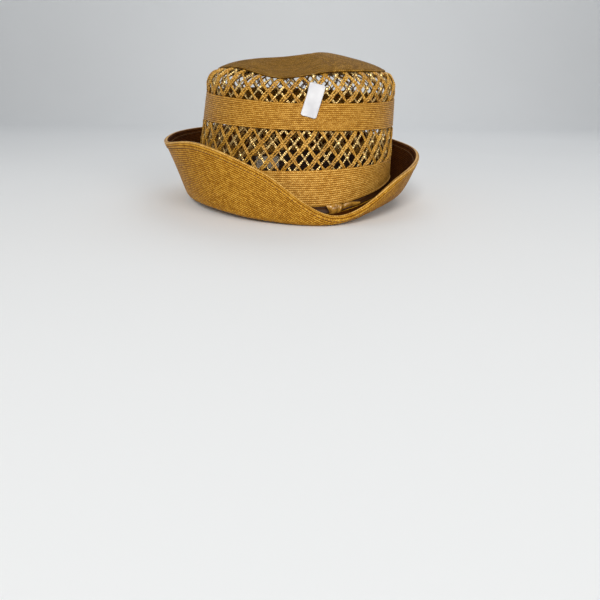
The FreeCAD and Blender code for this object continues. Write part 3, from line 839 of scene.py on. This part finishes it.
class Lattice:
    """One openwork band: where its cords run, and the pieces made of them."""

    def __init__(self, prefix, foot, head, layout, seed):
        self.prefix, self.foot, self.head, self.seed = prefix, foot, head, seed
        self.count, slope, self.right, self.left = layout
        reach = 0.5 * (SHOULDER_HALF_WIDTH + SHOULDER_HALF_LENGTH)
        self.step = 360.0 / self.count
        self.turn = math.degrees(1.0 / math.tan(math.radians(slope)) / reach)

    def run(self, index, lean, shift=0.0):
        """Ends of one cord, as (azimuths, heights)."""
        azimuth = (index + shift + (self.right if lean > 0 else self.left)) * self.step
        low, high = self.foot(azimuth) - TUCK, self.head(azimuth) + TUCK
        advance = 0.5 * lean * self.turn * (high - low)
        return (azimuth - advance, azimuth + advance), (low, high)

    def strands(self, lean, shift, depth, count, spread, radius, local):
        """Every cord that leans one way, as count strands plaited or twisted together.

        Gives each strand's path, radius and outward directions."""
        share = np.linspace(0.0, 1.0, CORD_POINTS)
        for index in range(self.count):
            az_run, z_run = self.run(index, lean, shift)
            az_run = np.array(az_run) + local.normal(0.0, 0.35, 2)
            hidden = TUCK / (z_run[1] - z_run[0])
            dive = np.clip((np.abs(2.0 * share - 1.0) - (1.0 - 3.4 * hidden)) / (1.6 * hidden),
                           0.0, 1.0)
            sunk = depth + np.maximum(BAND + 1.1 - depth, 0.0) * dive
            az = az_run[0] + (az_run[1] - az_run[0]) * share
            height = z_run[0] + (z_run[1] - z_run[0]) * share
            points = crown_point(az, height, sunk)
            out = unit(points - crown_point(az, height, sunk + 1.0))
            side = np.cross(out, unit(np.gradient(points, axis=0)))
            sag = local.normal(0.0, 0.35) * np.sin(math.pi * share)
            start = local.uniform(0.0, math.tau)
            turns = np.linalg.norm(points[-1] - points[0]) / CORD_TURN
            for k in range(count):
                angle = math.tau * (turns * share + k / count) + start
                across = spread * np.sin(angle) + sag
                rise = CORD_RISE * (np.sin(2.0 * angle) if count == 3 else np.cos(angle))
                path = points + side * across[:, None] + out * rise[:, None]
                yield path, radius * local.uniform(0.92, 1.08), out

    def cords(self, name, node, lean, depth, count, spread, radius):
        """All the straw cords that lean one way."""
        local = np.random.default_rng(self.seed + lean)
        piece = Piece()
        for path, size, out in self.strands(lean, 0.0, depth, count, spread, radius, local):
            piece.tube(path, size, 7, normal=out)
        piece.finish(self.prefix + name, CORD, [self.prefix + node])

    def gold(self):
        """Metallic threads through the middle of each hole, knotted where two cross."""
        local = np.random.default_rng(self.seed + 5)
        piece = Piece()
        for lean, depth in ((1, 1.75), (-1, 2.3)):
            for path, size, out in self.strands(lean, 0.5, depth, 2, 0.42, 0.44, local):
                piece.tube(path, size, 6, normal=out, flat=0.7)
        gap = self.step / self.turn
        for index in range(self.count):
            for tier in range(-3, 4):
                rise = ((self.left - self.right + tier) * 0.5) * gap
                azimuth = (index + 0.5 + 0.5 * (self.left + self.right + tier)) * self.step
                low, high = float(self.foot(azimuth)), float(self.head(azimuth))
                z = 0.5 * (low + high) + rise
                if low + 1.0 < z < high - 1.0:
                    self.knot(piece, azimuth + local.normal(0.0, 0.15), z, local)
        piece.finish(self.prefix + "_gold_net", GOLD, [self.prefix + "_gold_threads"])

    def knot(self, piece, azimuth, z, local):
        """A short wrap of thread that holds a crossing."""
        middle = crown_point(azimuth, z + local.normal(0.0, 0.2), 1.5)
        s, c = sin_cos(azimuth)
        outward = np.array([s, -c, 0.0])
        for lean in (1.0, -1.0):
            size = local.uniform(0.75, 1.1)
            tilt = lean * math.radians(local.uniform(40.0, 62.0))
            along = np.array([c * math.cos(tilt), s * math.cos(tilt), math.sin(tilt)])
            t = np.linspace(-1.0, 1.0, 6)[:, None]
            path = middle + along * t * local.uniform(1.3, 1.9)
            path = path + outward * (0.45 * (1.0 - t * t) + 0.15 * lean * local.uniform(0, 1))
            piece.tube(path, size * np.array([0.55, 0.85, 1.0, 1.0, 0.85, 0.55]), 6,
                       normal=outward, flat=0.55)

    def build(self):
        """The wide cords lie outside, the narrow ones under them, the gold inside."""
        self.cords("_wide_braid", "_wide_cords", 1, 0.50, 3, 1.12, 0.52)
        self.cords("_narrow_braid", "_narrow_cords", -1, 1.25, 2, 0.66, 0.54)
        self.gold()


# ----------------------------------------------------------------------------- trimmings

def hatband():
    """The satin ribbon in the recess, with soft lengthwise folds, painted dark as the recess's
    shade.
    """
    az = azimuths(ROUND)
    lift, fold = around(TURN_LIFT, az), fold_level(az)
    t = np.linspace(0.0, 1.0, 15)[:, None]
    low, high = lift + 4.9, fold + 1.0
    z = low + (high - low) * t
    inward = 0.15 - 1.85 * np.clip(t * 1.25, 0.0, 1.0)
    folds = 0.22 * np.sin(math.tau * (t * 2.2 + 0.3 * np.sin(np.radians(az * 5.0))))
    points = foot_point(az, inward + 0.25 + folds * np.sin(math.pi * t), z)
    run = girth(points[7])
    piece = Piece()
    piece.grid(points, u=run, v=t[:, 0] * 6.0)
    ribbon = piece.finish("satin_ribbon", SHADED_SATIN, ["satin_hatband"])
    thicken(ribbon, 0.25)


def knot():
    """The knot: ribbon gathered into pleats under the fold, with a turn round its middle."""
    low, high = box_mm("satin_knot")
    half = (high[0] - low[0]) / 2.0
    top, foot = high[2] - ORIGIN[2] + 0.3, low[2] - ORIGIN[2] - 0.1
    across = np.linspace(-1.0, 1.0, 73)
    down = np.linspace(0.0, 1.0, 25)[:, None]
    width = half * (1.0 - 0.42 * np.sin(math.pi * down * 0.5) ** 1.5)
    pleats = (0.42 * np.sin(11.0 * across + 1.2 * down + 0.6)
              + 0.20 * np.sin(23.0 * across - 2.0 * down))
    body = 0.9 + 1.9 * np.sin(math.pi * (0.12 + 0.8 * down)) * (1.0 - 0.7 * across ** 4)
    az = KNOT_AZIMUTH + np.degrees(across * width / FOOT_HALF_WIDTH)
    z = top + (foot - top) * down + 0.35 * np.sin(4.0 * across + 1.0) * (1.0 - down)
    front = foot_point(az, body + pleats * (0.5 + 0.5 * down), z)
    piece = Piece()
    piece.grid(front, wrap=False, u=np.linspace(0.0, 16.0, 74), v=down[:, 0] * 4.0)
    s, c = sin_cos(KNOT_AZIMUTH - 1.2)
    turn = np.linspace(0.0, math.tau, 49)[:-1]
    wide = np.linspace(-1.0, 1.0, 15)[:, None]
    swell = 1.0 + 0.16 * np.cos(wide * math.pi / 2.0) + 0.05 * np.sin(wide * 11.0)
    middle = foot_point(KNOT_AZIMUTH - 1.2, 1.9, 0.5 * (top + foot) - 0.3)
    sideways, outward, upward = np.array([[c, s, 0.0], [s, -c, 0.0], [0.0, 0.0, 1.0]])
    band = (middle + sideways * (wide * 1.7 + 0.6 * np.sin(turn))[..., None]
            + outward * (swell * np.cos(turn) * 1.5)[..., None]
            + upward * (swell * np.sin(turn) * 2.5)[..., None])
    piece.grid(band, u=np.linspace(0.0, 14.0, 49), v=wide[:, 0] * 2.0)
    thicken(piece.finish("satin_bow_knot", KNOT_SATIN, ["satin_knot"]), 0.2)


def tail():
    """The ribbon's end, lying along the hatband, bowed outward across its middle and gently
    twisted.
    """
    count = 40
    t = np.linspace(0.0, 1.0, count)
    az = 7.0 + 11.0 * t
    width = np.linspace(-1.0, 1.0, 11)[:, None]
    taper = 1.0 - 0.75 * t ** 3
    lift = fold_level(az) - 3.2 + 0.6 * np.sin(t * 5.0)
    twist = 0.5 * np.sin(t * 4.0)
    out = 0.9 + 0.35 * np.cos(width * 3.0) * taper + 0.5 * width * twist
    points = foot_point(az, out, lift + width * 1.9 * taper)
    piece = Piece()
    piece.grid(points, wrap=False, u=np.linspace(0.0, 26.0, count + 1), v=width[:, 0] * 3.0)
    thicken(piece.finish("satin_ribbon_tail", KNOT_SATIN, ["satin_tail"]), 0.22)


def inner_point(azimuth, depth, z):
    """A point on the sweatband, which follows the wall's taper above the fold."""
    taper = np.maximum(0.0, z - FOOT_Z - 18.0) / (SHOULDER_Z - FOOT_Z)
    narrower = (FOOT_HALF_WIDTH - SHOULDER_HALF_WIDTH) * taper
    return foot_point(azimuth, -depth - narrower, z)


def sweatband():
    """Grosgrain ribbon inside the head opening, slightly waved along its free edge."""
    az = azimuths(ROUND)
    low = around(TURN_LIFT, az) + 3.2
    t = np.linspace(0.0, 1.0, 14)[:, None]
    z = low + (SWEATBAND_TOP - low) * t
    wave = wobble(az, 12, 0.25) * t
    face = inner_point(az, SWEATBAND_FACE + wave - 0.15, z)
    back = inner_point(az, SWEATBAND_FACE + wave - 0.65, z)
    run = girth(face[6])
    piece = Piece()
    piece.grid(face, u=run, v=t[:, 0] * 25.0, flip=True)
    piece.grid(back, u=girth(back[6]), v=t[:, 0] * 25.0)
    for row in (0, -1):
        edge = np.stack([face[row], back[row]])
        piece.grid(edge, u=run, v=[0.0, 0.6], flip=row == -1)
    ribbon = piece.finish("sweatband_ribbon", GROSGRAIN, ["sweatband"])


def inside_patch(piece, az_range, z_range, depth, swell, pinch=0.0):
    """A soft patch on the inside of the sweatband. pinch draws one end together."""
    u = np.linspace(0.0, 1.0, 25)
    v = np.linspace(0.0, 1.0, 9)[:, None]
    az = az_range[0] + (az_range[1] - az_range[0]) * u
    middle = 0.5 * (z_range[0] + z_range[1])
    half = 0.5 * (z_range[1] - z_range[0]) * (1.0 - pinch * (1.0 - u) ** 2)
    z = middle + (2.0 * v - 1.0) * half
    bulge = swell * np.sin(math.pi * u) ** 0.7 * (0.6 + 0.4 * np.sin(math.pi * v))
    ripple = 0.12 * pinch * np.sin(v * 18.0) * (1.0 - u)
    piece.grid(inner_point(az, depth + bulge + ripple, z), wrap=False,
               u=np.linspace(0.0, 12.0, len(u) + 1), v=v[:, 0] * 8.0, flip=True)


def label():
    """A blank woven label on the sweatband at the back."""
    piece = Piece()
    inside_patch(piece, (171.0, 189.0), (11.0, 23.0), SWEATBAND_FACE + 0.05, 0.25)
    patch = piece.finish("blank_label", TAPE, ["size_label"])
    thicken(patch, 0.3)


def bow():
    """The small flat bow over the sweatband's seam: two loops and the turn between them."""
    piece = Piece()
    for first, last in ((248.6, 239.0), (249.4, 259.0)):
        inside_patch(piece, (last, first), (14.2, 21.8), SWEATBAND_FACE + 0.1, 1.2)
        inside_patch(piece, (first, last), (14.6, 21.4), SWEATBAND_FACE + 0.6, 0.7, pinch=0.6)
    inside_patch(piece, (247.8, 250.2), (15.8, 20.2), SWEATBAND_FACE + 0.8, 1.1)
    thicken(piece.finish("sweatband_bow_loops", GROSGRAIN, ["sweatband_bow"]), 0.3)


def paper_tag():
    """A blank paper tag, stuck on a little askew and lifting at its corners."""
    rows, cols = 33, 17
    along = np.linspace(0.0, 1.0, rows)[:, None]
    across = np.linspace(-1.0, 1.0, cols)
    az = TAG_FOOT[0] + (TAG_HEAD[0] - TAG_FOOT[0]) * along
    z = TAG_FOOT[1] + (TAG_HEAD[1] - TAG_FOOT[1]) * along
    reach = SHOULDER_HALF_WIDTH + 2.5
    tilt = math.atan2(math.radians(TAG_HEAD[0] - TAG_FOOT[0]) * reach, TAG_HEAD[1] - TAG_FOOT[1])
    near_end = np.maximum(np.abs(2.0 * along - 1.0) * TAG_LENGTH / 2.0
                          - (TAG_LENGTH / 2.0 - TAG_CORNER), 0.0)
    inset = TAG_CORNER - np.sqrt(np.maximum(TAG_CORNER ** 2 - near_end ** 2, 0.0))
    half = TAG_WIDTH / 2.0 - inset
    az = az + np.degrees(across * half * math.cos(tilt) / reach)
    z = z - across * half * math.sin(tilt)
    corner = (np.abs(2.0 * along - 1.0) ** 6) * (np.abs(across) ** 3)
    lift = 1.0 + 0.55 * corner + 0.1 * np.sin(along * 7.0)
    points = crown_point(az, z, -lift)
    piece = Piece()
    piece.grid(points, wrap=False, u=np.linspace(0.0, 11.0, cols + 1), v=along[:, 0] * 22.0)
    tag = piece.finish("paper_tag_sheet", PAPER, ["paper_tag"])
    thicken(tag, 0.16)


# -------------------------------------------------------------------------------- stage

CAMERA_TURN = 17.0      # the viewer stands this far round towards -X from the hat's front
CAMERA_PITCH = 24.4     # looking down
CAMERA_ROLL = 0.54
CAMERA_BACK = 380.7     # distances from the middle of the head opening, mm
CAMERA_SIDE = 107.0
CAMERA_HEIGHT = 75.5
LENS, SENSOR = 26.17, 36.0      # mm
TURNED = Matrix.Rotation(-math.radians(CAMERA_TURN), 4, "Z")

# name, place and size in metres, power in watts, colour
LIGHTS = (("key", (-0.25, -1.45, 0.85), (0.5, 0.5), 16.0, (1.0, 0.97, 0.92)),
          ("fill", (0.9, -1.2, 0.7), (0.8, 0.6), 6.0, (1.0, 0.98, 0.95)),
          ("back", (0.3, 1.1, 1.3), (1.4, 0.6), 5.0, (1.0, 1.0, 1.0)))


def stage():
    """A plain pale floor that curves up behind the hat."""
    width, depth, height, bend = 4.0, 1.6, 2.4, 0.5
    profile = [(-3.0, 0.0), (depth - bend, 0.0)]
    for k in range(1, 13):
        angle = 0.5 * math.pi * k / 12
        profile.append((depth - bend + bend * math.sin(angle), bend * (1 - math.cos(angle))))
    profile.append((depth, height))
    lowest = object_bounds()[0][2]
    vertices = [TURNED @ Vector((x, y, z + lowest)) for y, z in profile for x in (-width, width)]
    faces = [(2 * k, 2 * k + 1, 2 * k + 3, 2 * k + 2) for k in range(len(profile) - 1)]
    mesh = bpy.data.meshes.new("floor")
    mesh.from_pydata([tuple(v) for v in vertices], [], faces)
    for polygon in mesh.polygons:
        polygon.use_smooth = True
    n = Nodes("floor_paper")
    cloud = n.noise(n.place(), 3.0, 2.0)
    colour = n.mix(cloud, (0.86, 0.88, 0.90), (0.90, 0.92, 0.94))
    mesh.materials.append(n.set(colour, roughness=0.8))
    add("floor", mesh)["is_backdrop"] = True


def lights():
    """A window behind the viewer to the left, a softer one to the right, a weak back light."""
    target = Vector((0.0, 0.0, 0.05))
    for name, place, size, power, colour in LIGHTS:
        data = bpy.data.lights.new(name, "AREA")
        data.shape = "RECTANGLE"
        data.size, data.size_y = size
        data.energy = power
        data.color = colour
        light = add(name, data)
        light.location = TURNED @ Vector(place)
        light.rotation_euler = (target - light.location).to_track_quat("-Z", "Y").to_euler()
    world = bpy.data.worlds.new("studio")
    world.use_nodes = True
    background = world.node_tree.nodes["Background"]
    background.inputs["Color"].default_value = (0.90, 0.92, 0.94, 1.0)
    background.inputs["Strength"].default_value = 0.31
    bpy.context.scene.world = world


def camera():
    data = bpy.data.cameras.new("camera")
    data.sensor_width = SENSOR
    data.lens = LENS
    data.clip_start = 0.01
    view = add("camera", data)
    place = (np.array([-CAMERA_SIDE, -CAMERA_BACK, CAMERA_HEIGHT]) + ORIGIN) * MM
    look = (TURNED @ Matrix.Rotation(math.radians(90.0 - CAMERA_PITCH), 4, "X")
            @ Matrix.Rotation(math.radians(CAMERA_ROLL), 4, "Z"))
    view.matrix_world = Matrix.Translation(Vector(place)) @ look
    bpy.context.scene.camera = view


# ------------------------------------------------------------------------------- the hat

tip()
button()
Lattice("upper_lattice", upper_lattice_foot, tip_edge, UPPER_LAYOUT, 40).build()
braid_band("middle_band_braid", "middle_band", lower_lattice_head, upper_lattice_foot, 14,
           STRAW, 20)
Lattice("lower_lattice", lower_lattice_foot, lower_lattice_head, LOWER_LAYOUT, 50).build()
braid_band("base_wall_braid", "crown_base_wall", fold_level, lower_lattice_foot, 16, LIT_WALL_STRAW,
           24)
piping()
headline()
hatband()
knot()
tail()
brim()
brim_lining()
binding()
stitching()
sweatband()
label()
bow()
paper_tag()
for node in ("rim_wire", "wire_ferrule"):
    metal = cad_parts[node]
    metal.data.materials.clear()
    metal.data.materials.append(STEEL)

camera()
lights()
stage()
bpy.context.scene.view_settings.view_transform = "Standard"
